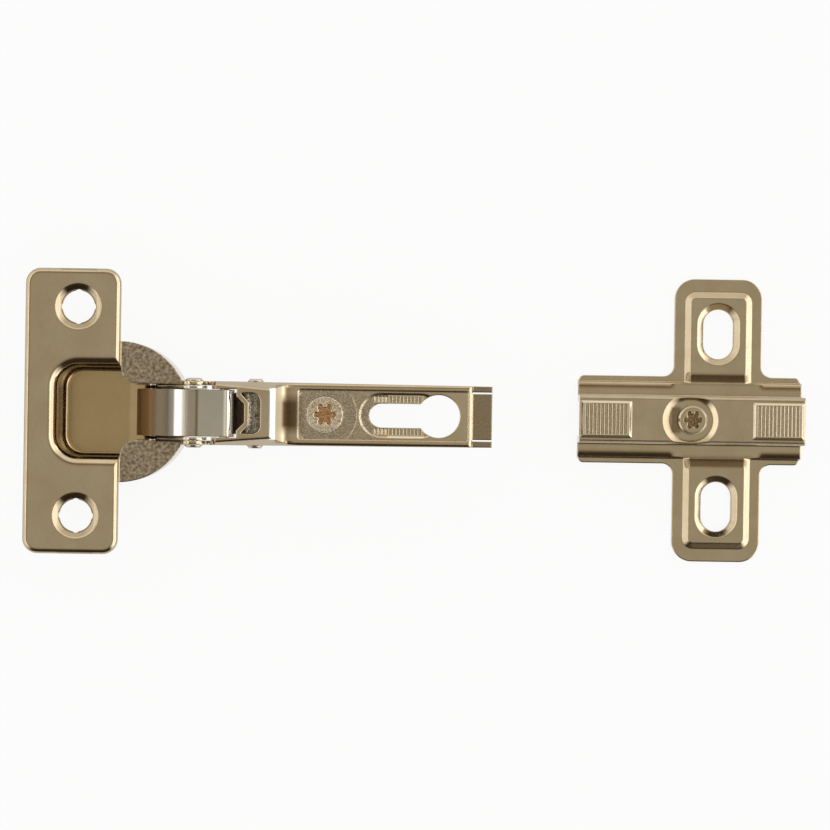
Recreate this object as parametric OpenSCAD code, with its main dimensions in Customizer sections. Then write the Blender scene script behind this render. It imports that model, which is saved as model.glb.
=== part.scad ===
// Concealed cabinet hinge with its cross mounting plate, in millimetres.
// X runs from the door cup along the arm, Y along the flange, Z up out of the door face.
// The origin is on the cup's axis, in the plane of the door face.

/* [Door cup] */
// Diameter of the round cup that enters the door
cup_d = 25.7; // [24.6:0.1:27]
// Depth of the cup below the door face
cup_depth = 10.6; // [10.4:0.1:12]
// Thickness of the cup's floor
cup_floor_t = 0.9; // [0.6:0.1:1]
// Length of the screw flange
flange_length = 52; // [48:0.5:60]
// Width of the screw flange
flange_width = 17.4; // [16.6:0.1:19]
// How far the flange reaches past the cup's axis towards the arm
flange_front = 0.2; // [0:0.1:1]
// Thickness of the flange
flange_t = 1.3; // [1:0.1:1.6]
// Corner radius of the flange
flange_corner = 2.8; // [2:0.1:4]
// Distance from each end of the flange to the centre of its screw hole
flange_hole_edge = 7; // [6.6:0.1:8]
// Distance from the cup's axis to the line of the screw holes
cup_screw_offset = 7.5; // [7:0.1:8.5]
// Diameter of the round part of a flange screw hole
cup_hole_d = 5.9; // [5:0.1:6.2]
// Wall between each side of the recess and the side of the cup
pocket_side = 4.7; // [4.5:0.05:5]
// Wall between the back of the recess and the cup's rim
pocket_wall = 1.65; // [1.6:0.05:2]
// Corner radius of the recess
pocket_corner = 3.8; // [3.7:0.1:4.2]
// Radius between the walls and the floor of the recess
pocket_fillet = 0.8; // [0.6:0.1:1.4]
// Drawn radius round the mouth of the recess
pocket_lip_r = 2; // [1:0.1:2.2]

/* [Linkage] */
// Height of the link pin in the cup, from the door face
link_pin_z = -6.9; // [-7:0.05:-6.7]
// Place of the link pin along X
link_pin_x = 5.5; // [5.3:0.05:5.7]
// Radius of the link pin
link_pin_r = 0.8; // [0.6:0.05:0.9]
// Place of the lever pin along X
lever_pin_x = 5.8; // [5.6:0.05:6]
// Height of the lever pin in the cup, from the door face
lever_pin_z = -3.4; // [-3.5:0.05:-3.3]
// Radius of the lever pin
lever_pin_r = 0.7; // [0.5:0.05:0.8]
// Place of the lever's rivet in the arm, along X
lever_rivet_x = 14.1; // [14:0.05:14.3]
// Height of the lever's rivet
lever_rivet_z = 5; // [4.8:0.05:5.1]
// Place of the link's rivet in the arm, along X
link_rivet_x = 19.6; // [19.4:0.05:19.8]
// Height of the link's rivet
link_rivet_z = 4.1; // [4:0.05:4.3]
// Play of the lever on its arm rivet, where the four-bar loop is left open
loop_play = 0.84; // [0.82:0.01:0.9]
// Sheet thickness of the front link
link_t = 0.9; // [0.7:0.05:1]
// Width of the front link
link_width = 8.5; // [8:0.1:8.6]
// Sheet thickness of the inner lever's two cheeks
lever_t = 0.55; // [0.4:0.05:0.6]
// Side gap between the link, the lever's cheeks, the arm's walls and the cup's slot
side_gap = 0.1; // [0.06:0.01:0.15]
// Radial running clearance of every pivot
pivot_clearance = 0.05; // [0.02:0.01:0.08]

/* [Arm] */
// Where the arm's full channel starts, along X
arm_front = 18.1; // [17.6:0.1:18.6]
// Overall end of the arm, along X
arm_end = 67.9; // [66:0.1:74]
// Sheet thickness of the arm
arm_t = 0.75; // [0.6:0.05:0.9]
// Height of the raised front of the arm above the door face
arm_high = 7.4; // [7.3:0.1:8]
// Height of the long rear part of the arm above the door face
arm_low = 5.6; // [5.2:0.1:6]
// Where the raised front starts to fall towards the rear, along X
ramp_top = 27.6; // [27.4:0.1:28]
// Radius of the round shoulder above the ramp
ramp_shoulder = 1.3; // [1.1:0.1:1.5]
// Radius of the ramp's hollow
ramp_hollow = 6.4; // [6:0.1:6.8]
// Where the sunk panel of the rear part starts, along X
ramp_end = 32.9; // [32.6:0.1:34]
// Height of the arm's lower edge above the door face
arm_edge_z = 0.6; // [0:0.1:1]
// Centre of the keyhole's round end, along X
keyhole_x = 58.2; // [57:0.1:59]
// Radius of the keyhole's round end
keyhole_r = 3.85; // [3.4:0.05:4]
// Length of the keyhole's slot, centre to centre
keyhole_run = 10.3; // [9:0.1:11]
// Width of the keyhole's slot
keyhole_width = 4.3; // [4.2:0.05:4.6]
// Place of the side adjusting screw, along X
side_screw_x = 37.7; // [37.4:0.1:38.2]
// Radius of the side adjusting screw
side_screw_r = 3.2; // [2.8:0.1:3.3]
// Place of the spring's rivet, along X
spring_rivet_x = 25.1; // [24.9:0.05:25.3]

/* [Mounting plate] */
// Middle of the plate's rail, along X, where the plate lies in line with the arm
plate_x = 104.8; // [104:0.1:112]
// Length of the plate's rail
rail_length = 41.4; // [38:0.1:44]
// Width of the rail at its top
rail_width = 8.8; // [8.4:0.1:9]
// Height of the rail above the plate's foot
rail_height = 8; // [7.5:0.1:9]
// Width of the plate's foot along the rail
foot_width = 16.2; // [15.6:0.1:17]
// Sheet thickness of the plate
plate_t = 1.2; // [1:0.1:1.4]
// Overall length across the two wings
wing_span = 52.4; // [50:0.1:60]
// Width of each wing
wing_width = 16.2; // [15:0.1:17]
// How far the wings sit behind the middle of the rail
wing_shift = 5.2; // [4:0.1:6]
// Corner radius of a wing
wing_corner = 3.7; // [3:0.1:4]
// Distance between the plate's two screw slots
plate_screw_spacing = 32; // [31:0.5:37]
// Width of a screw slot
plate_slot_width = 5.6; // [5:0.1:6]
// Length of a screw slot
plate_slot_length = 9.2; // [8:0.1:10]
// Radius of the fixing screw's head
fixing_head_r = 2.7; // [2.5:0.05:3]
// Radius of the fixing screw's shank
fixing_shank_r = 1.9; // [1.7:0.05:2]

/* [Hidden] */
$fn = 64;
tiny = 0.01;
seat_fit = 0.02;
over = 30;
cup_r = cup_d / 2;
cup_screw_spacing = flange_length - 2 * flange_hole_edge;
pocket_width = cup_d - 2 * pocket_side;
pocket_back = cup_r - pocket_wall;
link_half = link_width / 2;
lever_in = link_half + side_gap;
lever_out = lever_in + lever_t;
wall_in = lever_out + side_gap;
wall_out = wall_in + arm_t;
slot_half = lever_out + 3 * side_gap;
link_pin_at = [link_pin_x, link_pin_z];
lever_pin_at = [lever_pin_x, lever_pin_z];
lever_rivet_at = [lever_rivet_x, lever_rivet_z];
link_rivet_at = [link_rivet_x, link_rivet_z];
pin_seat = 2.5;
nickel = [0.76, 0.71, 0.62];
steel = [0.72, 0.70, 0.67];
dark_steel = [0.25, 0.24, 0.22];

// Turns a profile drawn in X and Z into a sheet of width w, centred on Y.
module across(w) { rotate([90, 0, 0]) linear_extrude(w, center = true) children(); }

// A profile drawn in X and Z, as two cheeks between y0 and y1 on both sides.
module cheeks(y0, y1) {
    for (s = [-1, 1])
        translate([0, s * (y0 + y1) / 2, 0]) across(y1 - y0) children();
}

// A pin along Y, centred.
module pin(at, r, half) { translate([at[0], 0, at[1]]) across(2 * half) circle(r); }

// Rectangle with round corners, centred.
module round_rect(l, w, r) {
    square([l - 2 * r, w], center = true);
    square([l, w - 2 * r], center = true);
    for (x = [-1, 1], y = [-1, 1])
        translate([x * (l / 2 - r), y * (w / 2 - r)]) circle(r);
}

// Slot with round ends along Y, centred.
module oblong(length, width) {
    square([width, length - width], center = true);
    for (s = [-1, 1]) translate([0, s * (length - width) / 2]) circle(width / 2);
}

// Section of a slab of width w and thickness t, with its two top corners rounded by r.
module slab_section(w, t, r) {
    difference() {
        translate([-w / 2, 0]) square([w, t]);
        for (s = [0, 1]) mirror([s, 0]) translate([w / 2 - r, t - r]) difference() {
            square([r + 1, r + 1]);
            circle(r);
        }
    }
}

// Slab from z = 0 up to t, with round corners and its top edge rounded by r all round.
module soft_slab(l, w, t, corner, r) {
    rotate([90, 0, 0]) linear_extrude(w - 2 * corner, center = true) slab_section(l, t, r);
    rotate([90, 0, 90]) linear_extrude(l - 2 * corner, center = true) slab_section(w, t, r);
    for (x = [-1, 1], y = [-1, 1]) translate([x * (l / 2 - corner), y * (w / 2 - corner), 0])
        rotate_extrude() intersection() {
            slab_section(2 * corner, t, r);
            square([corner + 1, t + 1]);
        }
}

// Part of a ring of middle radius r and width w, from angle a0 to a1, under half a turn.
module arc_band(c, r, w, a0, a1) {
    reach = 3 * r;
    translate(c) intersection() {
        difference() { circle(r + w / 2, $fn = 128); circle(r - w / 2, $fn = 128); }
        polygon([[0, 0], for (k = [0:4]) let (a = a0 + (a1 - a0) * k / 4) reach * [cos(a), sin(a)]]);
    }
}

// Straight strip of width w between two points, drawn square at its ends.
module strip(p, q, w) {
    n = w / 2 * [-(q[1] - p[1]), q[0] - p[0]] / norm(q - p);
    polygon([p + n, p - n, q - n, q + n]);
}

// Tapered bar between two round ends.
module taper_bar(p, rp, q, rq) {
    n = [-(q[1] - p[1]), q[0] - p[0]] / norm(q - p);
    polygon([p + rp * n, p - rp * n, q - rq * n, q + rq * n]);
    translate(p) circle(rp);
    translate(q) circle(rq);
}

// Six-lobed driving recess of outer radius r and depth d, cut down from z = 0. Its core, lobes
// and the waists between them are shares of r.
star_core = 0.66;
star_lobe_at = 0.75;
star_waist = 0.46;
module star_recess(r, d) {
    translate([0, 0, -d]) linear_extrude(d + 1) {
        circle(star_core * r);
        for (a = [0:60:300]) rotate(a) {
            translate([star_lobe_at * r / 2, 0]) square([star_lobe_at * r, star_waist * r], center = true);
            translate([star_lobe_at * r, 0]) circle((1 - star_lobe_at) * r);
        }
    }
}

// Outline of the cup's recess with its slot towards the arm.
pocket_front = flange_front + 0.1;
pocket_mid = (pocket_front - pocket_back) / 2;
mouth_r = (pocket_width / 2 - slot_half) * 0.95;
module pocket_outline() {
    translate([pocket_mid, 0]) round_rect(pocket_front + pocket_back, pocket_width, pocket_corner);
    translate([pocket_mid, -pocket_width / 2]) square([pocket_front - pocket_mid, pocket_width]);
    translate([0, -slot_half]) square([cup_r + 1, 2 * slot_half]);
    for (s = [-1, 1]) translate([pocket_front, s * slot_half]) difference() {
        translate([0, s > 0 ? 0 : -mouth_r]) square([mouth_r, mouth_r]);
        translate([mouth_r, s * mouth_r]) circle(mouth_r);
    }
}

// Room of the recess: its floor meets the walls in a fillet, except along the slot.
floor_front = pocket_front + 0.9 * mouth_r;
module pocket_room() {
    floor_z = cup_floor_t - cup_depth;
    floor_mid = (floor_front - pocket_back) / 2;
    translate([0, 0, floor_z + pocket_fillet]) linear_extrude(over) pocket_outline();
    translate([floor_mid, 0, floor_z + pocket_fillet]) mirror([0, 0, 1])
        soft_slab(floor_front + pocket_back, pocket_width, pocket_fillet, pocket_corner, pocket_fillet);
    translate([floor_mid, -slot_half, floor_z]) cube([over, 2 * slot_half, over]);
}

// Drawn lip round the mouth of the recess: a quarter round swept along its back and sides.
lip_over = 0.5;
module lip_profile() {
    difference() {
        translate([-lip_over, 0]) square([pocket_lip_r + lip_over, pocket_lip_r + lip_over]);
        translate([pocket_lip_r, 0]) circle(pocket_lip_r);
    }
}
module pocket_lip() {
    side_y = pocket_width / 2;
    corner_x = pocket_corner - pocket_back;
    corner_y = side_y - pocket_corner;
    translate([0, 0, flange_t - pocket_lip_r]) {
        for (s = [-1, 1]) translate([corner_x, s * corner_y, 0])
            rotate_extrude() difference() {
                square([pocket_corner + pocket_lip_r, pocket_lip_r + lip_over]);
                translate([pocket_corner + pocket_lip_r, 0]) circle(pocket_lip_r);
            }
        for (s = [0, 1]) mirror([0, s, 0]) translate([corner_x, side_y, 0])
            rotate([90, 0, 90]) linear_extrude(flange_front - corner_x) lip_profile();
        translate([-pocket_back, corner_y, 0]) rotate([90, 0, 0])
            linear_extrude(2 * corner_y) mirror([1, 0]) lip_profile();
    }
}

// Flange screw hole: round, with four shallow lobes, in a pressed seat.
hole_lobe_r = 0.75;
hole_lobe_out = 0.2;
hole_land = 0.06;
hole_seat_r = cup_hole_d / 2 + 1.25;
hole_seat_depth = 0.75;
module cup_hole() {
    linear_extrude(flange_t + 1) {
        circle(cup_hole_d / 2);
        for (a = [0:90:270]) rotate(a)
            translate([cup_hole_d / 2 + hole_lobe_out - hole_lobe_r, 0]) circle(hole_lobe_r);
    }
    translate([0, 0, flange_t - hole_seat_depth])
        cylinder(r1 = cup_hole_d / 2 + hole_lobe_out + hole_land, r2 = hole_seat_r,
                 h = hole_seat_depth + tiny);
}

// Cup and flange, drawn from one sheet.
drum_edge_r = 1.4;
flange_edge_r = 0.8 * flange_t;
rim_cut_z = -6;
rim_cut_wall = 1.2;
module door_cup() {
    color(nickel) difference() {
        union() {
            translate([flange_front - flange_width / 2, 0, 0])
                soft_slab(flange_width, flange_length, flange_t, flange_corner, flange_edge_r);
            rotate_extrude($fn = 128) difference() {
                translate([0, -cup_depth]) square([cup_r, cup_depth]);
                translate([cup_r - drum_edge_r, -cup_depth]) difference() {
                    translate([0, -1]) square([drum_edge_r + 1, drum_edge_r + 1]);
                    translate([0, drum_edge_r]) circle(drum_edge_r);
                }
            }
        }
        difference() {
            pocket_room();
            translate([cup_r - rim_cut_wall, -over, -over]) cube([over, 2 * over, over + rim_cut_z]);
        }
        pocket_lip();
        for (s = [-1, 1]) translate([-cup_screw_offset, s * cup_screw_spacing / 2, -tiny]) cup_hole();
        pin(link_pin_at, link_pin_r + seat_fit, slot_half + pin_seat + seat_fit);
        pin(lever_pin_at, lever_pin_r + seat_fit, slot_half + pin_seat + seat_fit);
    }
}
module link_pin() { color(steel) pin(link_pin_at, link_pin_r, slot_half + pin_seat); }
module lever_pin() { color(steel) pin(lever_pin_at, lever_pin_r, slot_half + pin_seat); }

// Path of the front link: an eye on each pin, an arc round the lever pin, a rise and a bend.
rivet_r = 0.9;
cup_eye = link_pin_r + pivot_clearance + link_t / 2;
arm_eye = rivet_r + pivot_clearance + link_t / 2;
hook_r = 4.6;
hook_left = link_pin_x - 2.2;
hook_x = hook_left + hook_r;
hook_z = link_pin_z + sqrt(pow(hook_r - cup_eye, 2) - pow(hook_x - link_pin_x, 2));
hook_at = [hook_x, hook_z];
hook_start = 180 + atan2(hook_z - link_pin_z, hook_x - link_pin_x);
rise_angle = 50;
top_angle = 8;
bend_r = 14;
function along(a) = [cos(a), sin(a)];
function left_of(a) = [-sin(a), cos(a)];
hook_end = hook_at + hook_r * left_of(rise_angle);
bend_step = bend_r * (left_of(top_angle) - left_of(rise_angle));
rise_length = (left_of(top_angle) * (link_rivet_at - hook_end - bend_step) + arm_eye)
              / (left_of(top_angle) * along(rise_angle));
bend_start = hook_end + rise_length * along(rise_angle);
bend_at = bend_start - bend_r * left_of(rise_angle);
top_start = bend_at + bend_r * left_of(top_angle);
top_end = link_rivet_at + arm_eye * left_of(top_angle);
module front_link() {
    color(steel) across(link_width) difference() {
        union() {
            translate(link_pin_at) circle(cup_eye + link_t / 2);
            arc_band(hook_at, hook_r, link_t, hook_start, 90 + rise_angle);
            strip(hook_end - tiny * along(rise_angle), bend_start + tiny * along(rise_angle), link_t);
            arc_band(bend_at, bend_r, link_t, 90 + rise_angle, 90 + top_angle);
            strip(top_start - tiny * along(top_angle), top_end, link_t);
            translate(link_rivet_at) circle(arm_eye + link_t / 2);
        }
        translate(link_pin_at) circle(link_pin_r + pivot_clearance);
        translate(link_rivet_at) circle(rivet_r + pivot_clearance);
    }
}

// Inner lever: two cheeks beside the link, joined by a folded web on the underside.
lever_eye_r = lever_pin_r + 0.75;
lever_big_hole = rivet_r + loop_play;
lever_big_eye = lever_big_hole + 0.65;
lever_dir = (lever_rivet_at - lever_pin_at) / norm(lever_rivet_at - lever_pin_at);
lever_down = [lever_dir[1], -lever_dir[0]];
lever_span = norm(lever_rivet_at - lever_pin_at);
web_lap = 0.1;
module inner_lever() {
    web_from = lever_pin_at + 0.27 * lever_span * lever_dir + (lever_eye_r - web_lap) * lever_down;
    web_to = lever_pin_at + 0.64 * lever_span * lever_dir + (lever_eye_r + 1.5 * web_lap) * lever_down;
    color(steel) {
        cheeks(lever_in, lever_out) difference() {
            taper_bar(lever_pin_at, lever_eye_r, lever_rivet_at, lever_big_eye);
            translate(lever_pin_at) circle(lever_pin_r + pivot_clearance);
            translate(lever_rivet_at) circle(lever_big_hole);
        }
        across(2 * lever_out) strip(web_from, web_to, lever_t);
    }
}

// Rivets of the arm. The lever hangs on two short ones, clear of the link that passes between
// them, and the spring on one long one. Both have round heads outside the walls.
head_t = 0.5;
lever_head_r = 1.7;
spring_head_r = 1.5;
head_top = 0.75;
pin_short = 0.05;
module rivet_heads(at, head_r) {
    for (s = [-1, 1]) translate([at[0], s * (wall_out + seat_fit), at[1]])
        rotate([-90 * s, 0, 0]) cylinder(r1 = head_r, r2 = head_top * head_r, h = head_t);
}
module lever_rivet() {
    color(steel) {
        translate([lever_rivet_x, 0, lever_rivet_z])
            cheeks(lever_in, wall_out + seat_fit + tiny) circle(rivet_r);
        rivet_heads(lever_rivet_at, lever_head_r);
    }
}
module link_rivet() { color(steel) pin(link_rivet_at, rivet_r, wall_out - pin_short); }
spring_rivet_at = [spring_rivet_x, link_rivet_z - 0.7];
module spring_rivet() {
    color(steel) {
        pin(spring_rivet_at, rivet_r, wall_out + seat_fit + tiny);
        rivet_heads(spring_rivet_at, spring_head_r);
    }
}

// Closing spring: flat steel wound on its rivet, with one leg forward under the link's eye.
spring_t = 0.5;
spring_half = link_half - 0.5;
coil_r = rivet_r + seat_fit + 1.25;
leg_angle = 186;
leg_length = 6.8;
spoke_t = 0.6;
spoke_lap = 0.05;
module closing_spring() {
    leg_start = spring_rivet_at + (coil_r - spring_t / 2) * left_of(leg_angle);
    color(dark_steel) across(2 * spring_half) {
        for (r = [rivet_r + seat_fit + spring_t / 2, coil_r - spring_t / 2])
            translate(spring_rivet_at) difference() {
                circle(r + spring_t / 2);
                circle(r - spring_t / 2);
            }
        translate(spring_rivet_at) for (a = [20, 140, 260]) rotate(a)
            translate([rivet_r + seat_fit + spring_t - spoke_lap, -spoke_t / 2])
                square([coil_r - rivet_r - seat_fit - 2 * spring_t + 2 * spoke_lap, spoke_t]);
        strip(leg_start, leg_start + leg_length * along(leg_angle), spring_t);
    }
}

// Side view of the arm's outer skin: a round shoulder, a hollow ramp and the low rear part.
ear_r = 2.3;
ear_drop = 1.6;
notch_r = 0.7;
tab_top = arm_low - 2;
tab_length = 3.6;
web_end = arm_end - tab_length;
wing_front = 21.9;
shoulder_at = [ramp_top, arm_high - ramp_shoulder];
hollow_z = arm_low + ramp_hollow;
hollow_at = [ramp_top + sqrt(pow(ramp_hollow + ramp_shoulder, 2) - pow(hollow_z - shoulder_at[1], 2)),
             hollow_z];
ramp_dir = (hollow_at - shoulder_at) / norm(hollow_at - shoulder_at);
ramp_mid = shoulder_at + ramp_shoulder * ramp_dir;
chin_back = 1.4;
brow_over = 0.1;
ear_chord = 0.87 * ear_r;
module arm_side_view() {
    translate(lever_rivet_at) circle(ear_r);
    difference() {
        polygon([[lever_rivet_x, lever_rivet_z - ear_r], [arm_front + chin_back, arm_edge_z],
                 [hollow_at[0], arm_edge_z], [hollow_at[0], ramp_mid[1]], ramp_mid, shoulder_at,
                 [ramp_top, arm_high], [arm_front, arm_high],
                 [arm_front - brow_over, arm_high - ear_drop],
                 [lever_rivet_x + ear_chord, arm_high - ear_drop]]);
        translate(hollow_at) circle(ramp_hollow, $fn = 128);
        translate([(lever_rivet_x + ear_r + arm_front) / 2, arm_high - ear_drop]) circle(notch_r);
    }
    translate(shoulder_at) circle(ramp_shoulder);
    translate([hollow_at[0] - tiny, arm_edge_z])
        square([arm_end - hollow_at[0] + tiny, arm_low - arm_edge_z]);
}
// Side view of the room under the arm's web.
room_slack = 0.1;
hollow_run = 0.35 * ramp_hollow;
hollow_rise = 0.5;
module arm_room_view() {
    low = arm_low - panel_drop - arm_t;
    polygon([[0, -over], [0, arm_high - arm_t], [ramp_top - room_slack, arm_high - arm_t],
             ramp_mid - (arm_t + room_slack) * ramp_dir, [hollow_at[0] - hollow_run, low + hollow_rise],
             [hollow_at[0], low], [2 * arm_end, low], [2 * arm_end, -over]]);
}
// Plan of the arm, wider at its front than at its end.
arm_taper = 0.25;
module arm_plan(inset) {
    front = wall_out - inset;
    rear = wall_out - arm_taper - inset;
    polygon([[lever_rivet_x - ear_r - 1, -front], [wing_front, -front], [arm_end + 1, -rear],
             [arm_end + 1, rear], [wing_front, front], [lever_rivet_x - ear_r - 1, front]]);
}
// Everything outside the leaning sides of the raised front: they close in towards the ramp's
// shoulder and open again along the ramp. The slab moves along its own normal by shift.
lean_angle = 63.4;
lean_in = 4.8;
lean_out = -2.6;
lean_at = [28.3, 4.33];
module lean_slab(from, to, taper, angle, shift) {
    for (s = [0, 1]) mirror([0, s, 0]) intersection() {
        translate([lean_at[0], lean_at[1], arm_high]) rotate([-angle, 0, -taper])
            translate([-over, -over, shift]) cube([2 * over, 2 * over, over]);
        translate([from, 0, -1]) cube([to - from, over, over]);
    }
}
module side_lean(shift) {
    lean_slab(0, lean_at[0], lean_in, lean_angle, shift);
    lean_slab(lean_at[0] - tiny, ramp_end + 2, lean_out, lean_angle, shift);
}
// Rounds off the outside of a bend that runs along X at height top.
module bend_relief(x0, x1, top, r) {
    for (s = [0, 1]) mirror([0, s, 0]) translate([x0, wall_out - r, top - r])
        rotate([90, 0, 90]) linear_extrude(x1 - x0) difference() {
            square([r + 1, r + 1]);
            circle(r);
        }
}
// Opening at the front of the arm's web, beside the link, with its scalloped edge.
mouth_edge = 3.1;
mouth_deep = 1.4;
mouth_inner = 1.7;
module front_mouth() {
    polygon([[over / 3, -wall_in], [over / 3, wall_in], [ledge_front, wall_in],
             [ledge_front, lever_in], [wing_front, lever_in], [wing_front, mouth_edge],
             [wing_front + mouth_deep, mouth_inner], [wing_front + mouth_deep, -mouth_inner],
             [wing_front, -mouth_edge], [wing_front, -lever_in], [ledge_front, -lever_in],
             [ledge_front, -wall_in]]);
}
// Narrow ledges that close the gap beside the link in front of the web.
ledge_front = lever_rivet_x + lever_big_eye + loop_play;
module ledges() {
    cheeks(lever_in, wall_in + tiny)
        translate([ledge_front, arm_high - ear_drop - arm_t])
            square([arm_front + tiny - ledge_front, arm_t]);
}
// Window in the web behind the scalloped edge, where the spring shows. A rim of web stays
// between it and the mouth.
window_length = 4.4;
window_half = 3.7;
window_corner = 1.6;
window_rim = 0.8;
window_mid = 2.1;
module spring_window() {
    rim_mid = wing_front + mouth_deep + window_rim;
    rim_side = mouth_edge + window_rim / 2;
    difference() {
        translate([wing_front + window_mid, 0]) round_rect(window_length, 2 * window_half, window_corner);
        polygon([[wing_front - 1, -over], [wing_front + window_rim, -over],
                 [wing_front + window_rim, -rim_side], [rim_mid, -mouth_inner - window_rim / 3],
                 [rim_mid, mouth_inner + window_rim / 3], [wing_front + window_rim, rim_side],
                 [wing_front + window_rim, over], [wing_front - 1, over]]);
    }
}
slot_left = keyhole_x - keyhole_run;
panel_drop = 0.35;
lean_edge = 0.12;
rear_bend_r = 0.8;
tooth_pitch = 0.66;
tooth_side = 0.4;
tooth_length = 1.1;
tooth_count = floor((keyhole_run - 1.3) / tooth_pitch);
module keyhole() {
    translate([keyhole_x, 0]) circle(keyhole_r);
    translate([slot_left, 0]) circle(keyhole_width / 2);
    translate([slot_left, -keyhole_width / 2]) square([keyhole_run, keyhole_width]);
}
// Pad round the keyhole's slot, pressed down, with a row of teeth on each side.
pad_r = keyhole_width / 2 + 1.95;
pad_edge = 0.4;
pad_depth = 0.25;
module keyhole_pad() {
    pad_run = keyhole_run - keyhole_r + 0.6;
    translate([slot_left + pad_run / 2, 0, 0]) rotate([0, 0, 90])
        slot_funnel(pad_run, pad_r - pad_edge, pad_r, pad_depth + tiny);
}
tooth_off = 0.75;
tooth_lead = 1.5;
module pad_teeth() {
    for (k = [0:tooth_count - 1], s = [-1, 1])
        translate([slot_left + tooth_pitch * (k - tooth_lead), s * (keyhole_width / 2 + tooth_off), 0])
            rotate([45, 0, 90]) cube([tooth_length, tooth_side, tooth_side], center = true);
}
// Sunk panel of the rear part, with a shallow dimple round the side adjusting screw.
end_slit = 0.3;
end_slit_y = wall_in - 0.85;
end_wall = 1.05;
dimple_r = 5.8;
dimple_depth = 0.08;
panel_rear = 0.7;
panel_corner = 0.5;
module panel_outline() {
    translate([(ramp_end + web_end - panel_rear) / 2, 0])
        round_rect(web_end - panel_rear - ramp_end, 2 * (wall_in - panel_corner), panel_corner);
}
module hinge_arm() {
    web_low = arm_low - panel_drop;
    color(nickel) difference() {
        union() {
            difference() {
                intersection() {
                    across(2 * over) arm_side_view();
                    linear_extrude(over) arm_plan(0);
                }
                difference() {
                    intersection() {
                        across(2 * over) arm_room_view();
                        translate([0, 0, -1]) linear_extrude(over) arm_plan(arm_t);
                    }
                    side_lean(-arm_t);
                }
                translate([web_end, -wall_out - 1, tab_top]) cube([over, 2 * wall_out + 2, over]);
                for (s = [0, 1]) mirror([0, s, 0])
                    translate([web_end, end_slit_y, arm_edge_z - 1]) cube([over, end_slit, over]);
                translate([web_end - rear_bend_r, 0, arm_low - rear_bend_r])
                    across(2 * over) difference() {
                        square([rear_bend_r + 1, rear_bend_r + 1]);
                        circle(rear_bend_r);
                    }
                translate([web_end - 1, -wall_out, arm_edge_z - 1])
                    cube([over, 2 * wall_out, 1 + tab_top - arm_t - arm_edge_z]);
            }
            translate([web_end - arm_t, arm_t - wall_in, tab_top - arm_t])
                cube([arm_t, 2 * (wall_in - arm_t), web_low - tab_top + arm_t]);
            translate([web_end - arm_t, -end_slit_y, tab_top - arm_t])
                cube([arm_end - web_end + arm_t, 2 * end_slit_y, arm_t]);
            for (s = [0, 1]) mirror([0, s, 0])
                translate([web_end - arm_t, end_slit_y + end_slit, arm_edge_z])
                    cube([arm_end - web_end + arm_t, end_wall, tab_top - arm_edge_z]);
            ledges();
        }
        linear_extrude(over) front_mouth();
        linear_extrude(over) spring_window();
        translate([0, 0, web_low]) linear_extrude(over) panel_outline();
        translate([0, 0, web_low - pad_depth]) keyhole_pad();
        translate([0, 0, web_low - pad_depth]) pad_teeth();
        translate([0, 0, -1]) linear_extrude(over) keyhole();
        translate([side_screw_x, 0, -1]) cylinder(r = side_screw_r + pivot_clearance, h = over);
        intersection() {
            translate([side_screw_x, 0, web_low - dimple_depth]) cylinder(r = dimple_r, h = over);
            linear_extrude(over) panel_outline();
        }
        side_lean(0);
        lean_slab(0, lean_at[0], lean_in, lean_angle / 2, -lean_edge);
        bend_relief(ramp_end - 2, arm_end + 1, arm_low, rear_bend_r);
        pin(lever_rivet_at, rivet_r + seat_fit, over);
        pin(link_rivet_at, rivet_r + seat_fit, over);
        pin(spring_rivet_at, rivet_r + seat_fit, over);
    }
}

// Side adjusting screw: a flush star-headed grub with a neck and a button end for the plate.
side_grub = 3.6;
side_neck = 2;
side_button = 1.2;
side_star_r = 2.05;
side_neck_r = 0.47 * side_screw_r;
side_tip_r = 0.6 * side_screw_r;
side_button_r = 0.72 * side_screw_r;
side_star_depth = 1.5;
screw_proud = 0.05;
module side_screw() {
    top = arm_low - panel_drop + screw_proud;
    color(steel) translate([side_screw_x, 0, top]) difference() {
        union() {
            translate([0, 0, -side_grub]) cylinder(r = side_screw_r, h = side_grub);
            translate([0, 0, -side_grub - side_neck])
                cylinder(r = side_neck_r, h = side_neck + tiny);
            translate([0, 0, -side_grub - side_neck - side_button])
                cylinder(r1 = side_tip_r, r2 = side_button_r, h = side_button + tiny);
        }
        star_recess(side_star_r, side_star_depth);
    }
}

// Outline of the plate's foot: the rail's strip and the two wings.
foot_corner = 1;
wing_root_r = 2;
foot_short = 0.4;
module foot_outline() {
    round_rect(rail_length - foot_short, foot_width, foot_corner);
    translate([wing_shift, 0]) round_rect(wing_width, wing_span, wing_corner);
    for (x = [-1, 1], y = [-1, 1])
        translate([wing_shift + x * wing_width / 2, y * foot_width / 2]) difference() {
            translate([x > 0 ? 0 : -wing_root_r, y > 0 ? 0 : -wing_root_r]) square(wing_root_r);
            translate([x, y] * wing_root_r) circle(wing_root_r);
        }
}
// Section of the rail across Y, t inside its outer skin: a shoulder on each side and the rail.
shoulder_z = 2.3;
shoulder_out = 0.85;
shoulder_slope = 0.35;
rail_foot = 0.2;
rail_edge = 0.5;
pad_lift = 0.4;
module rail_section(t) {
    top = rail_height - pad_lift - t;
    half = rail_width / 2 - t;
    side = foot_width / 2 - shoulder_out - t;
    lap = t > 0 ? -tiny : 0;
    low = shoulder_z - t;
    polygon([[-side, lap], [-side + shoulder_slope, low],
             [-half - rail_foot, low], [-half, low + rail_foot],
             [-half, top - rail_edge], [-half + rail_edge, top], [half - rail_edge, top],
             [half, top - rail_edge], [half, low + rail_foot], [half + rail_foot, low],
             [side - shoulder_slope, low], [side, lap]]);
}
module along_rail(length) {
    translate([-length / 2, 0, 0]) rotate([90, 0, 90]) linear_extrude(length) children();
}
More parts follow.
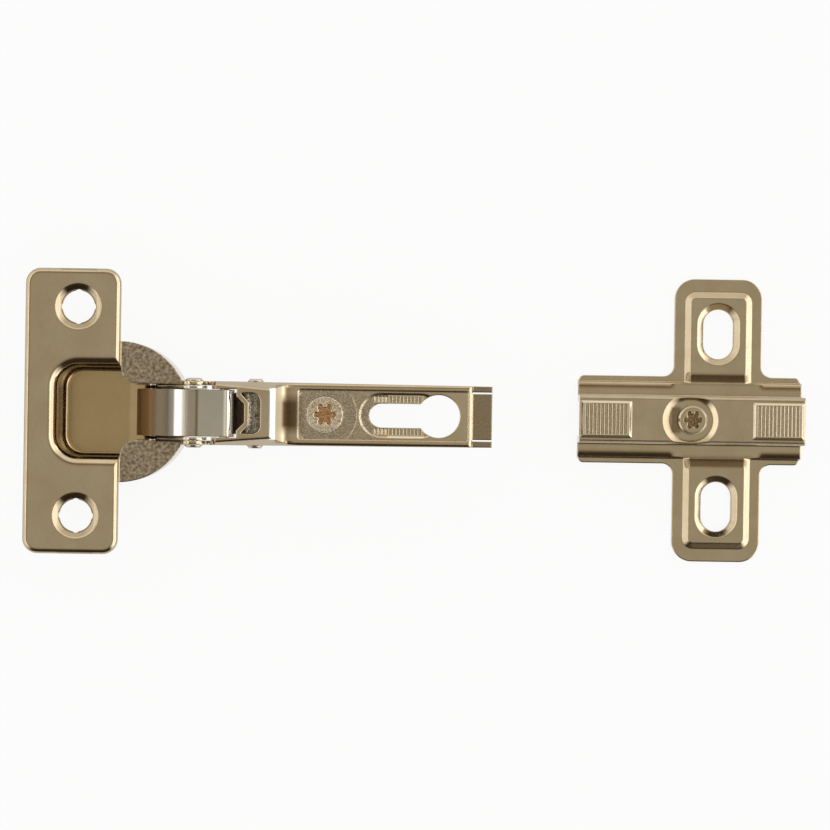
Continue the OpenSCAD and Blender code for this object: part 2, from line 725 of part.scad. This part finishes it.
// Trapezoid from y = 0 up to h, that narrows from half width a to half width b.
module taper_section(a, b, h) { polygon([[-a, 0], [a, 0], [b, h], [-b, h]]); }
// Rectangular block with round corners whose sides slope in by run over its height h.
module sloped_block(l, w, corner, run, h) {
    rotate([90, 0, 0]) linear_extrude(w - 2 * corner, center = true) taper_section(l / 2, l / 2 - run, h);
    rotate([90, 0, 90]) linear_extrude(l - 2 * corner, center = true)
        taper_section(w / 2, w / 2 - run, h);
    for (x = [-1, 1], y = [-1, 1]) translate([x * (l / 2 - corner), y * (w / 2 - corner), 0])
        cylinder(r1 = corner, r2 = corner - run, h = h);
}
// Funnel round a slot: its half width grows from a to b over the height h.
module slot_funnel(run, a, b, h) {
    rotate([90, 0, 0]) linear_extrude(run, center = true) taper_section(a, b, h);
    for (s = [-1, 1]) translate([0, s * run / 2, 0]) cylinder(r1 = a, r2 = b, h = h);
}
// Toothed pad on the rail's end, with sloping sides.
end_pad_length = 9.4;
end_pad_half = 3.4;
end_pad_slope = 0.45;
groove_pitch = 0.7;
groove_side = 0.44;
groove_length = 5.6;
groove_count = 11;
module end_pad() {
    intersection() {
        rotate([90, 0, 90]) linear_extrude(end_pad_length, center = true)
            taper_section(end_pad_half, end_pad_half - end_pad_slope, pad_lift);
        rotate([90, 0, 0]) linear_extrude(2 * end_pad_half, center = true)
            taper_section(end_pad_length / 2, end_pad_length / 2 - end_pad_slope, pad_lift);
    }
}
// Raised pad of the wings, and the screw slots with their sunk seats.
pad_rise = 0.95;
pad_margin = 1.9;
pad_slope = 1.1;
pad_corner = 2;
slot_seat = 0.95;
slot_seat_run = 1.15;
// Seat of the fixing screw, which lets it shift along the rail.
seat_r = 4.9;
seat_slope = 1.2;
seat_depth = 0.55;
seat_shift = 0.6;
module mounting_plate() {
    rail_top = rail_height - pad_lift;
    pad_at = (rail_length - end_pad_length) / 2 - 0.2;
    color(nickel) translate([plate_x, 0, -cup_depth]) difference() {
        union() {
            linear_extrude(plate_t) foot_outline();
            translate([wing_shift, 0, plate_t - tiny])
                sloped_block(wing_width - 2 * pad_margin, wing_span - 2 * pad_margin - 1, pad_corner,
                             pad_slope, pad_rise + tiny);
            along_rail(rail_length) rail_section(0);
            for (s = [-1, 1]) translate([s * pad_at, 0, rail_top - tiny]) end_pad();
        }
        along_rail(rail_length + 1) rail_section(plate_t);
        for (s = [-1, 1]) translate([wing_shift, s * plate_screw_spacing / 2, -1]) {
            linear_extrude(over) oblong(plate_slot_length, plate_slot_width);
            translate([0, 0, 1 + plate_t + pad_rise - slot_seat])
                slot_funnel(plate_slot_length - plate_slot_width, plate_slot_width / 2,
                            plate_slot_width / 2 + slot_seat_run, slot_seat + tiny);
        }
        for (s = [-1, 1], k = [0:groove_count - 1])
            translate([s * (pad_at + groove_pitch * (k - (groove_count - 1) / 2)), 0,
                       rail_height - tiny])
                rotate([0, 45, 0]) cube([groove_side, groove_length, groove_side], center = true);
        translate([-seat_shift / 2, 0, rail_top - seat_depth]) rotate([0, 0, 90])
            slot_funnel(seat_shift, seat_r - seat_slope, seat_r, seat_depth + tiny);
        cylinder(r = fixing_shank_r + pivot_clearance, h = over);
    }
}

// Fixing screw of the plate, which the arm's keyhole slips over.
fixing_rim_t = 1.2;
fixing_chamfer = 0.35;
fixing_star_r = 1.75;
fixing_star_depth = 1.3;
fixing_tip = 1;
module fixing_screw() {
    seat = rail_height - pad_lift - seat_depth + screw_proud;
    color(steel) translate([plate_x, 0, seat - cup_depth]) difference() {
        union() {
            translate([0, 0, fixing_tip - seat]) cylinder(r = fixing_shank_r, h = seat - fixing_tip + tiny);
            cylinder(r = fixing_head_r, h = fixing_rim_t);
            translate([0, 0, fixing_rim_t - tiny])
                cylinder(r1 = fixing_head_r, r2 = fixing_head_r - fixing_chamfer, h = fixing_chamfer);
        }
        translate([0, 0, fixing_rim_t + fixing_chamfer]) star_recess(fixing_star_r, fixing_star_depth);
    }
}

door_cup();
link_pin();
lever_pin();
front_link();
inner_lever();
hinge_arm();
lever_rivet();
link_rivet();
spring_rivet();
closing_spring();
side_screw();
mounting_plate();
fixing_screw();
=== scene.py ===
# Concealed cabinet hinge with its mounting plate: finishes, fine detail, light and camera.
import bpy
import math
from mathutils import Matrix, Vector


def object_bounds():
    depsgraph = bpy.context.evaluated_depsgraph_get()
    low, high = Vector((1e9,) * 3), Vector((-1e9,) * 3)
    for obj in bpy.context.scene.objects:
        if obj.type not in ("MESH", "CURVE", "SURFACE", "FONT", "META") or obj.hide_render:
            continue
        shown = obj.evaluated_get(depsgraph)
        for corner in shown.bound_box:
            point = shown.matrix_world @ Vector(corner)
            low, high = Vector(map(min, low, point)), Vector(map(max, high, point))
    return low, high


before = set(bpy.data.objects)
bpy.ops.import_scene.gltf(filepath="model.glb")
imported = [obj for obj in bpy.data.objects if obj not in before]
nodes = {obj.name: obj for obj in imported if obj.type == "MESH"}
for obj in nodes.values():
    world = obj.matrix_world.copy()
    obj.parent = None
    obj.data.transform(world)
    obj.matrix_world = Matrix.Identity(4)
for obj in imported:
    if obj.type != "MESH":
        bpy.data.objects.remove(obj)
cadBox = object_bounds()
mm = 0.001
print("frame loaded:", len(nodes), "nodes")

# Camera: straight above, as in the photograph, with its slight turn
cameraSettings = {
    "lookAt": (53.95 * mm, 0.2 * mm, 0.0),
    "height": 480 * mm,
    "pixelsPerMetreAtOrigin": 5492.0,   # the photograph's scale at the door face
    "imagePixels": 830,
    "turnDegrees": 0.87,
    "sensor": 36.0,
    "nearest": 0.01,
}


def makeCamera(s):
    data = bpy.data.cameras.new("topCamera")
    focalPixels = s["pixelsPerMetreAtOrigin"] * s["height"]
    data.sensor_fit = "HORIZONTAL"
    data.sensor_width = s["sensor"]
    data.lens = focalPixels / s["imagePixels"] * s["sensor"]
    data.clip_start = s["nearest"]
    cam = bpy.data.objects.new("topCamera", data)
    bpy.context.scene.collection.objects.link(cam)
    x, y, z = s["lookAt"]
    cam.location = (x, y, z + s["height"])
    cam.rotation_euler = (0, 0, math.radians(s["turnDegrees"]))
    bpy.context.scene.camera = cam


makeCamera(cameraSettings)
bpy.context.scene.view_settings.view_transform = "Standard"
print("camera placed")


# Small helpers for shader trees
class Tree:
    def __init__(self, tree):
        self.tree = tree

    def add(self, kind, **values):
        node = self.tree.nodes.new(kind)
        for name, value in values.items():
            setattr(node, name, value)
        return node

    def link(self, a, b):
        self.tree.links.new(a, b)

    def math(self, operation, a, b=None, clamp=False):
        node = self.add("ShaderNodeMath", operation=operation, use_clamp=clamp)
        for socket, value in zip(node.inputs, (a, b)):
            if value is None:
                continue
            if isinstance(value, (int, float)):
                socket.default_value = value
            else:
                self.link(value, socket)
        return node.outputs[0]

    def mixColour(self, factor, a, b):
        node = self.add("ShaderNodeMix", data_type="RGBA")
        for socket, value in ((node.inputs[0], factor), (node.inputs[6], a), (node.inputs[7], b)):
            if isinstance(value, (int, float)):
                socket.default_value = value
            elif isinstance(value, tuple):
                socket.default_value = (*value, 1.0)
            else:
                self.link(value, socket)
        return node.outputs[2]

    def mapRange(self, value, low, high, toLow=0.0, toHigh=1.0):
        node = self.add("ShaderNodeMapRange")
        self.link(value, node.inputs[0])
        for socket, number in zip(node.inputs[1:5], (low, high, toLow, toHigh)):
            socket.default_value = number
        return node.outputs[0]


def newGroup(name, inputs, outputs):
    group = bpy.data.node_groups.new(name, "ShaderNodeTree")
    for socketName, value in inputs:
        socket = group.interface.new_socket(socketName, in_out="INPUT", socket_type="NodeSocketFloat")
        socket.default_value = value
    for socketName in outputs:
        group.interface.new_socket(socketName, in_out="OUTPUT", socket_type="NodeSocketFloat")
    t = Tree(group)
    return group, t, t.add("NodeGroupInput").outputs, t.add("NodeGroupOutput").inputs


def millimetres(t):
    coords = t.add("ShaderNodeTexCoord")
    scale = t.add("ShaderNodeVectorMath", operation="SCALE")
    t.link(coords.outputs["Object"], scale.inputs[0])
    scale.inputs["Scale"].default_value = 1000.0
    return scale.outputs[0]


# Shared effect: drawn grain, cloudy plating and small pits, with sizes in millimetres
def makeGrainGroup():
    group, t, inputs, outputs = newGroup(
        "platedGrain",
        (("Grain Size", 0.3), ("Stretch", 4.0), ("Cloud Size", 4.0), ("Pit Size", 0.35)),
        ("Grain", "Cloud", "Pits"))
    position = millimetres(t)
    squeeze = t.add("ShaderNodeCombineXYZ")
    for k in (0, 2):
        squeeze.inputs[k].default_value = 1.0
    t.link(inputs["Stretch"], squeeze.inputs[1])
    stretched = t.add("ShaderNodeVectorMath", operation="DIVIDE")
    t.link(position, stretched.inputs[0])
    t.link(squeeze.outputs[0], stretched.inputs[1])
    for vector, size, detail, output in (
            (stretched.outputs[0], "Grain Size", 4.0, "Grain"),
            (position, "Cloud Size", 3.0, "Cloud"),
            (position, "Pit Size", 6.0, "Pits")):
        noise = t.add("ShaderNodeTexNoise")
        noise.inputs["Detail"].default_value = detail
        t.link(vector, noise.inputs["Vector"])
        t.link(t.math("DIVIDE", 1.0, inputs[size]), noise.inputs["Scale"])
        t.link(noise.outputs["Fac"], outputs[output])
    return group


# Shared effect: a soft-edged box of a piece in millimetres, the same on both sides of Y = 0.
# Reach is the distance from the cup's axis.
def makeZoneGroup():
    group, t, inputs, outputs = newGroup(
        "zone",
        (("Low X", -999.0), ("High X", 999.0), ("Low Z", -999.0), ("High Z", 999.0),
         ("Inner Y", -999.0), ("Half Y", 999.0), ("Reach", 999.0), ("Soft", 0.2)),
        ("Mask",))
    parts = t.add("ShaderNodeSeparateXYZ")
    t.link(millimetres(t), parts.inputs[0])
    x, y, z = parts.outputs
    aside = t.math("ABSOLUTE", y)
    reach = t.math("SQRT", t.math("ADD", t.math("MULTIPLY", x, x), t.math("MULTIPLY", y, y)))
    distances = [
        t.math("SUBTRACT", x, inputs["Low X"]), t.math("SUBTRACT", inputs["High X"], x),
        t.math("SUBTRACT", z, inputs["Low Z"]), t.math("SUBTRACT", inputs["High Z"], z),
        t.math("SUBTRACT", aside, inputs["Inner Y"]), t.math("SUBTRACT", inputs["Half Y"], aside),
        t.math("SUBTRACT", inputs["Reach"], reach)]
    mask = None
    for distance in distances:
        edge = t.math("ADD", t.math("DIVIDE", distance, inputs["Soft"]), 0.5, clamp=True)
        mask = edge if mask is None else t.math("MULTIPLY", mask, edge)
    t.link(mask, outputs["Mask"])
    return group


grainGroup = makeGrainGroup()
zoneGroup = makeZoneGroup()
grainSpan = (0.3, 0.7)      # part of the noises' range that goes from one value to the other
cloudSpan = (0.35, 0.65)
edgeSamples = 8


def startMaterial(name, metallic=1.0):
    material = bpy.data.materials.new(name)
    material.use_nodes = True
    t = Tree(material.node_tree)
    shader = material.node_tree.nodes["Principled BSDF"]
    shader.inputs["Metallic"].default_value = metallic
    return material, t, shader


def zoneMask(t, zone):
    node = t.add("ShaderNodeGroup", node_tree=zoneGroup)
    for key, value in zone.items():
        node.inputs[key].default_value = value
    return node.outputs["Mask"]


# Mix of two values, each a number or a socket
def blend(t, factor, a, b):
    node = t.add("ShaderNodeMix")
    for socket, value in ((node.inputs[0], factor), (node.inputs[2], a), (node.inputs[3], b)):
        if isinstance(value, (int, float)):
            socket.default_value = value
        else:
            t.link(value, socket)
    return node.outputs[0]


# Surface tipped away from the plane Y = 0 of the piece, or towards it where the amount is negative
def leaned(t, normal, amount):
    parts = t.add("ShaderNodeSeparateXYZ")
    t.link(millimetres(t), parts.inputs[0])
    side = t.math("SIGN", parts.outputs[1])
    tip = t.add("ShaderNodeCombineXYZ")
    t.link(t.math("MULTIPLY", side, amount), tip.inputs[1])
    turned = t.add("ShaderNodeVectorTransform", vector_type="VECTOR",
                   convert_from="OBJECT", convert_to="WORLD")
    t.link(tip.outputs[0], turned.inputs[0])
    total = t.add("ShaderNodeVectorMath", operation="ADD")
    t.link(normal, total.inputs[0])
    t.link(turned.outputs[0], total.inputs[1])
    unit = t.add("ShaderNodeVectorMath", operation="NORMALIZE")
    t.link(total.outputs[0], unit.inputs[0])
    return unit.outputs[0]


# Plated metal: clouds and drawn streaks, then the piece's own zones laid over them in order.
# A zone may bring its own colour and speck, roughness, pits, edge rounding and lean.
def platedMetal(name, s):
    material, t, shader = startMaterial(name, s.get("metallic", 1.0))
    grain = t.add("ShaderNodeGroup", node_tree=grainGroup)
    for key in ("Grain Size", "Stretch", "Cloud Size", "Pit Size"):
        grain.inputs[key].default_value = s[key]
    cloud = t.mapRange(grain.outputs["Cloud"], *cloudSpan)
    colour = t.mixColour(cloud, s["colour"], s["tint"])
    streak = t.mapRange(grain.outputs["Grain"], *grainSpan)
    colour = t.mixColour(t.math("MULTIPLY", streak, s["streaks"]), colour, s["streakColour"])
    roughness = t.mapRange(grain.outputs["Grain"], *grainSpan, *s["roughness"])
    height, rounding, lean = grain.outputs["Grain"], s["edgeRounding"], None
    speck = t.mapRange(grain.outputs["Pits"], *cloudSpan)
    for zone in s.get("zones", ()):
        mask = zoneMask(t, zone["where"])
        if "colour" in zone:
            zoneColour = t.mixColour(speck, zone["colour"], zone["speck"])
            colour = t.mixColour(t.math("MULTIPLY", mask, zone["strength"]), colour, zoneColour)
        if "roughness" in zone:
            zoneRoughness = t.mapRange(grain.outputs["Pits"], *cloudSpan, *zone["roughness"])
            roughness = blend(t, mask, roughness, zoneRoughness)
        if "pitted" in zone:
            height = blend(t, mask, height, t.math("MULTIPLY", grain.outputs["Pits"], zone["pitted"]))
        if "edgeRounding" in zone:
            rounding = blend(t, mask, rounding, zone["edgeRounding"])
        if "lean" in zone:
            part = t.math("MULTIPLY", mask, zone["lean"])
            lean = part if lean is None else t.math("ADD", lean, part)
    t.link(colour, shader.inputs["Base Color"])
    t.link(roughness, shader.inputs["Roughness"])
    edges = t.add("ShaderNodeBevel", samples=edgeSamples)
    if isinstance(rounding, float):
        edges.inputs["Radius"].default_value = rounding
    else:
        t.link(rounding, edges.inputs["Radius"])
    normal = edges.outputs[0] if lean is None else leaned(t, edges.outputs[0], lean)
    bump = t.add("ShaderNodeBump")
    bump.inputs["Strength"].default_value = 1.0
    bump.inputs["Distance"].default_value = s["bump"]
    t.link(height, bump.inputs["Height"])
    t.link(normal, bump.inputs["Normal"])
    t.link(bump.outputs[0], shader.inputs["Normal"])
    return material


# Bright nickel, the ground of every finish
nickelSettings = {
    "Grain Size": 0.4, "Stretch": 2.5, "Cloud Size": 5.0, "Pit Size": 0.3,
    "colour": (0.465, 0.395, 0.285), "tint": (0.43, 0.355, 0.245),
    "streaks": 0.15, "streakColour": (0.36, 0.3, 0.21),
    "roughness": (0.12, 0.18), "bump": 0.000004, "edgeRounding": 0.4 * mm,
}
cupSettings = dict(nickelSettings, **{"Pit Size": 0.6}, zones=(
    # speckled top of the drum beside the link
    {"where": {"Low X": 0.35, "Low Z": -0.4, "High Z": 0.2, "Soft": 0.1}, "strength": 0.95,
     "colour": (0.165, 0.125, 0.087), "speck": (0.51, 0.44, 0.345), "roughness": (0.5, 0.3),
     "pitted": 4.0},
    # painted shade and reflection on the walls of the recess
    {"where": {"Reach": 12.2, "High X": 1.0, "Low Z": -9.7, "High Z": -1.6, "Soft": 0.5},
     "strength": 0.85, "colour": (0.1, 0.06, 0.025), "speck": (0.13, 0.08, 0.035),
     "roughness": (0.25, 0.3)},
    # painted golden reflection on the floor of the recess
    {"where": {"Reach": 12.2, "Low X": -10.7, "Low Z": -9.7, "High Z": -8.75, "Half Y": 7.6,
               "Soft": 0.25}, "strength": 0.92,
     "colour": (0.58, 0.42, 0.21), "speck": (0.55, 0.395, 0.195), "roughness": (0.22, 0.26)},
    # painted shade on the sunk seats round the flange's screw holes
    {"where": {"Low X": -10.8, "High X": -4.2, "Low Z": 0.5, "High Z": 1.08, "Inner Y": 15.0,
               "Soft": 0.1}, "strength": 0.7, "colour": (0.27, 0.22, 0.15), "speck": (0.3, 0.25, 0.17),
     "edgeRounding": 0.2 * mm},
))
# Painted highlight: a lighter colour on the upper faces of the pressed teeth, on the arm's pad and on
# the rail
toothHighlightPaint = {"colour": (0.6, 0.54, 0.43), "speck": (0.66, 0.6, 0.49)}

armSettings = dict(nickelSettings, zones=(
    # speckled panel round the side screw
    {"where": {"Low X": 33.0, "High X": 48.0, "High Z": 5.3, "Low Z": 4.9, "Half Y": 4.4, "Soft": 0.4},
     "strength": 0.85, "colour": (0.2, 0.165, 0.12), "speck": (0.56, 0.49, 0.4),
     "roughness": (0.42, 0.28), "pitted": 5.0},
    # painted shade and reflection in the middle of the ramp
    {"where": {"Low X": 29.5, "High X": 33.2, "High Z": 7.6, "Low Z": 5.0, "Half Y": 2.9, "Soft": 1.8},
     "strength": 0.97, "colour": (0.05, 0.029, 0.011), "speck": (0.065, 0.038, 0.016),
     "roughness": (0.2, 0.22)},
    # end tab
    {"where": {"Low X": 64.4, "High Z": 5.4, "Soft": 0.3}, "strength": 0.75,
     "colour": (0.2, 0.16, 0.1), "speck": (0.28, 0.23, 0.155), "roughness": (0.35, 0.25),
     "pitted": 3.0},
    # toothed pad beside the keyhole, with painted highlight on its teeth
    {"where": {"Low X": 49.0, "High X": 55.6, "Half Y": 4.0, "High Z": 5.2, "Soft": 0.2},
     "strength": 0.8, **toothHighlightPaint, "edgeRounding": 0.07 * mm},
    # painted highlight on the bend at the top of the ramp, and painted shade on the strip after it
    {"where": {"Low X": 27.8, "High X": 28.8, "Half Y": 4.6, "Low Z": 6.0, "Soft": 0.2},
     "strength": 0.95, "colour": (0.97, 0.96, 0.93), "speck": (0.97, 0.96, 0.93),
     "edgeRounding": 0.1 * mm},
    {"where": {"Low X": 28.8, "High X": 30.0, "Half Y": 5.5, "Low Z": 5.6, "Soft": 0.3},
     "strength": 0.7, "colour": (0.24, 0.2, 0.14), "speck": (0.26, 0.22, 0.155)},
))
# Brushed across the strip; zones from the cup's end to the arm's, all painted reflections, shade and
# highlights
linkSettings = dict(nickelSettings, **{
    "Grain Size": 0.16, "Stretch": 60.0,
    "colour": (0.58, 0.58, 0.565), "tint": (0.54, 0.54, 0.52),
    "streaks": 0.35, "streakColour": (0.46, 0.45, 0.43), "roughness": (0.16, 0.24),
    "edgeRounding": 0.2 * mm},
    zones=(
        # painted shade and reflection on the strip up to the highlight of its bend
        {"where": {"High X": 10.4, "Soft": 0.5}, "strength": 0.97,
         "colour": (0.125, 0.1, 0.065), "speck": (0.105, 0.085, 0.055), "roughness": (0.2, 0.26)},
        # painted golden reflection of the recess on the strip's end in the cup
        {"where": {"High X": 6.3, "Soft": 0.9}, "strength": 0.9,
         "colour": (0.43, 0.25, 0.11), "speck": (0.36, 0.205, 0.09), "roughness": (0.4, 0.45)},
        # painted bluish-grey reflection just before the highlight
        {"where": {"Low X": 9.4, "High X": 10.3, "Soft": 0.5}, "strength": 0.6,
         "colour": (0.24, 0.25, 0.25), "speck": (0.24, 0.25, 0.25)},
        # painted darker, warmer reflection just after the highlight
        {"where": {"Low X": 11.9, "High X": 14.4, "Soft": 0.4}, "strength": 0.5,
         "colour": (0.42, 0.38, 0.31), "speck": (0.42, 0.38, 0.31)},
        # painted shade line across the strip
        {"where": {"Low X": 14.35, "High X": 14.85, "Soft": 0.3}, "strength": 0.85,
         "colour": (0.21, 0.175, 0.13), "speck": (0.21, 0.175, 0.13)},
        # painted highlight on the rolled end at the arm
        {"where": {"Low X": 19.6, "High X": 20.8, "Soft": 0.3}, "strength": 0.9,
         "colour": (0.93, 0.91, 0.87), "speck": (0.93, 0.91, 0.87), "roughness": (0.1, 0.1)},))
plateSettings = dict(nickelSettings, zones=(
    # toothed pads at the rail's two ends, with painted highlight on their teeth
    {"where": {"Low X": 84.6, "High X": 93.4, "Half Y": 3.3, "Low Z": -4.0, "Soft": 0.1},
     "strength": 0.85, **toothHighlightPaint, "edgeRounding": 0.08 * mm},
    {"where": {"Low X": 116.2, "High X": 125.0, "Half Y": 3.3, "Low Z": -4.0, "Soft": 0.1},
     "strength": 0.85, **toothHighlightPaint, "edgeRounding": 0.08 * mm},
    # shaded side of the fixing screw's seat
    {"where": {"Low X": 100.9, "High X": 102.7, "Half Y": 2.4, "High Z": -3.3, "Low Z": -4.2,
               "Soft": 0.6}, "strength": 0.85, "colour": (0.15, 0.1, 0.05), "speck": (0.2, 0.14, 0.08)},
    # inner ends of the wing pads slope to the rail, the rail's shoulders slope off outwards
    {"where": {"Low X": 103.2, "High X": 116.8, "Inner Y": 6.6, "Half Y": 8.7, "Low Z": -8.9,
               "Soft": 0.8}, "lean": -0.29},
    {"where": {"High X": 101.8, "Inner Y": 5.9, "Half Y": 7.6, "Low Z": -9.0, "Soft": 1.2},
     "lean": 0.37},
    {"where": {"Low X": 117.8, "Inner Y": 5.9, "Half Y": 7.6, "Low Z": -9.0, "Soft": 1.2},
     "lean": 0.37},
))
rivetSettings = dict(nickelSettings, colour=(0.52, 0.49, 0.43), tint=(0.45, 0.41, 0.34))
sideScrewSettings = dict(nickelSettings, edgeRounding=0.2 * mm, zones=(
    # pitted head, then painted shade at the bottom of its star
    {"where": {"Low Z": 5.0, "Soft": 0.2}, "strength": 0.9,
     "colour": (0.4, 0.29, 0.17), "speck": (0.85, 0.8, 0.7), "roughness": (0.35, 0.15), "pitted": 9.0},
    {"where": {"High Z": 4.9, "Soft": 0.5}, "strength": 0.95,
     "colour": (0.26, 0.135, 0.055), "speck": (0.6, 0.38, 0.2), "roughness": (0.3, 0.2), "pitted": 6.0},
))
fixingScrewSettings = dict(nickelSettings, edgeRounding=0.2 * mm, zones=(
    # painted shade at the bottom of its star, which also darkens the shank
    {"where": {"High Z": -2.5, "Soft": 0.5}, "strength": 0.95,
     "colour": (0.1, 0.06, 0.028), "speck": (0.36, 0.24, 0.14), "roughness": (0.3, 0.2), "pitted": 6.0},
))
springSettings = dict(
    nickelSettings, metallic=0.75, zones=(
        # phosphated strip with bright wear, darker towards the link
        {"where": {}, "strength": 1.0, "colour": (0.08, 0.07, 0.055), "speck": (0.53, 0.49, 0.42),
         "roughness": (0.5, 0.3), "pitted": 10.0},
        {"where": {"High X": 23.2, "Soft": 0.3}, "strength": 0.9,
         "colour": (0.07, 0.04, 0.022), "speck": (0.1, 0.06, 0.035)},))

finishOf = {
    "door_cup": platedMetal("drawnCup", cupSettings),
    "hinge_arm": platedMetal("pressedArm", armSettings),
    "mounting_plate": platedMetal("pressedPlate", plateSettings),
    "front_link": platedMetal("brushedLink", linkSettings),
    "side_screw": platedMetal("sideScrew", sideScrewSettings),
    "fixing_screw": platedMetal("fixingScrew", fixingScrewSettings),
    "closing_spring": platedMetal("springSteel", springSettings),
}
rivetSteel = platedMetal("rivetSteel", rivetSettings)
for name, piece in nodes.items():
    piece.data.materials.clear()
    piece.data.materials.append(finishOf.get(name, rivetSteel))
print("finishes given")

# Studio: a pale floor that stays white to the camera and keeps a soft shadow
stageSettings = {
    "floorSize": 3.0,
    "floorColour": (0.92, 0.92, 0.92),
    "shadowKept": 0.1,                  # share of the floor's own shading that the camera sees
    "mirrored": 1.0,                    # white of the floor as the metal mirrors it
    "below": 0.05 * mm,
    "roughness": 0.9,
}


def makeFloor(s):
    low, high = cadBox
    half = s["floorSize"] / 2
    x, z = (low[0] + high[0]) / 2, low[2] - s["below"]
    corners = [(x - half, -half, z), (x + half, -half, z), (x + half, half, z), (x - half, half, z)]
    mesh = bpy.data.meshes.new("floor")
    mesh.from_pydata(corners, [], [(0, 1, 2, 3)])
    floor = bpy.data.objects.new("floor", mesh)
    bpy.context.scene.collection.objects.link(floor)
    material, t, shader = startMaterial("paleFloor", 0.0)
    shader.inputs["Base Color"].default_value = (*s["floorColour"], 1.0)
    shader.inputs["Roughness"].default_value = s["roughness"]
    shader.inputs["Specular IOR Level"].default_value = 0.0
    white = t.add("ShaderNodeEmission")
    white.inputs["Color"].default_value = (1.0, 1.0, 1.0, 1.0)
    path = t.add("ShaderNodeLightPath")
    camera = t.math("MULTIPLY", path.outputs["Is Camera Ray"], 1.0 - s["shadowKept"])
    seen = t.math("MAXIMUM", camera, t.math("MULTIPLY", path.outputs["Is Glossy Ray"], s["mirrored"]))
    mix = t.add("ShaderNodeMixShader")
    t.link(seen, mix.inputs[0])
    t.link(shader.outputs[0], mix.inputs[1])
    t.link(white.outputs[0], mix.inputs[2])
    out = next(n for n in material.node_tree.nodes if n.type == "OUTPUT_MATERIAL")
    t.link(mix.outputs[0], out.inputs["Surface"])
    mesh.materials.append(material)


makeFloor(stageSettings)

# Dome: what the metal mirrors, from the horizon (0) to straight above (1), on four sides
domeSettings = {
    "heights": (0.0, 0.15, 0.3, 0.5, 0.64, 0.69, 0.79, 0.86, 0.94, 1.0),
    "left": ((1.7, 1.63, 1.5), (1.7, 1.63, 1.5), (1.7, 1.63, 1.5), (0.5, 0.42, 0.3), (3.0, 2.95, 2.8),
             (3.2, 3.15, 3.0), (0.6, 0.5, 0.38), (0.4, 0.32, 0.22), (0.56, 0.49, 0.37),
             (0.68, 0.635, 0.53)),
    "right": ((3.6, 3.55, 3.4), (3.6, 3.55, 3.4), (2.4, 2.3, 2.15), (2.2, 2.1, 1.95), (2.6, 2.5, 2.35),
              (3.0, 2.95, 2.8), (3.0, 2.95, 2.8), (0.5, 0.4, 0.28), (0.56, 0.49, 0.37),
              (0.68, 0.635, 0.53)),
    "back": ((1.2, 1.13, 1.0), (1.2, 1.13, 1.0), (1.4, 1.32, 1.18), (1.5, 1.4, 1.2), (1.4, 1.3, 1.1),
             (1.3, 1.2, 1.0), (0.6, 0.5, 0.38), (0.2, 0.14, 0.08), (0.5, 0.43, 0.32),
             (0.68, 0.635, 0.53)),
    "front": ((0.4, 0.35, 0.26), (0.06, 0.045, 0.025), (0.05, 0.035, 0.02), (0.05, 0.035, 0.02),
              (0.05, 0.035, 0.02), (0.05, 0.035, 0.02), (0.06, 0.045, 0.025), (0.12, 0.085, 0.05),
              (0.5, 0.43, 0.32), (0.68, 0.635, 0.53)),
    "diffuse": (0.85, 0.84, 0.82),
    # how far round from one side to the next the mirrored colours change over
    "toSides": (0.55, 0.85),
    "toBack": (-0.2, 0.3),
    "toRight": (-0.3, 0.3),
}


def makeWorld(s):
    world = bpy.data.worlds.new("studioDome")
    bpy.context.scene.world = world
    world.use_nodes = True
    t = Tree(world.node_tree)
    coords = t.add("ShaderNodeTexCoord")
    parts = t.add("ShaderNodeSeparateXYZ")
    t.link(coords.outputs["Generated"], parts.inputs[0])
    x, y, z = parts.outputs

    def ramp(colours):
        node = t.add("ShaderNodeValToRGB")
        stops = node.color_ramp.elements
        stops[0].position, stops[1].position = s["heights"][0], s["heights"][-1]
        for height in s["heights"][1:-1]:
            stops.new(height)
        for stop, colour in zip(stops, colours):
            stop.color = (*colour, 1.0)
        t.link(z, node.inputs[0])
        return node.outputs[0]

    squares = t.math("ADD", t.math("MULTIPLY", x, x), t.math("MULTIPLY", y, y))
    level = t.math("SQRT", t.math("ADD", squares, 1e-5))     # never quite 0 straight above
    towardsSide = t.mapRange(t.math("DIVIDE", t.math("ABSOLUTE", x), level), *s["toSides"])
    towardsBack = t.mapRange(t.math("DIVIDE", y, level), *s["toBack"])
    towardsRight = t.mapRange(t.math("DIVIDE", x, level), *s["toRight"])
    ends = t.mixColour(towardsBack, ramp(s["front"]), ramp(s["back"]))
    sides = t.mixColour(towardsRight, ramp(s["left"]), ramp(s["right"]))
    mirrored = t.mixColour(towardsSide, ends, sides)
    path = t.add("ShaderNodeLightPath")
    lit = t.mixColour(path.outputs["Is Glossy Ray"], s["diffuse"], mirrored)
    seen = t.mixColour(path.outputs["Is Camera Ray"], lit, (1.0, 1.0, 1.0))
    background = world.node_tree.nodes["Background"]
    t.link(seen, background.inputs["Color"])
    background.inputs["Strength"].default_value = 1.0


makeWorld(domeSettings)
print("studio ready")
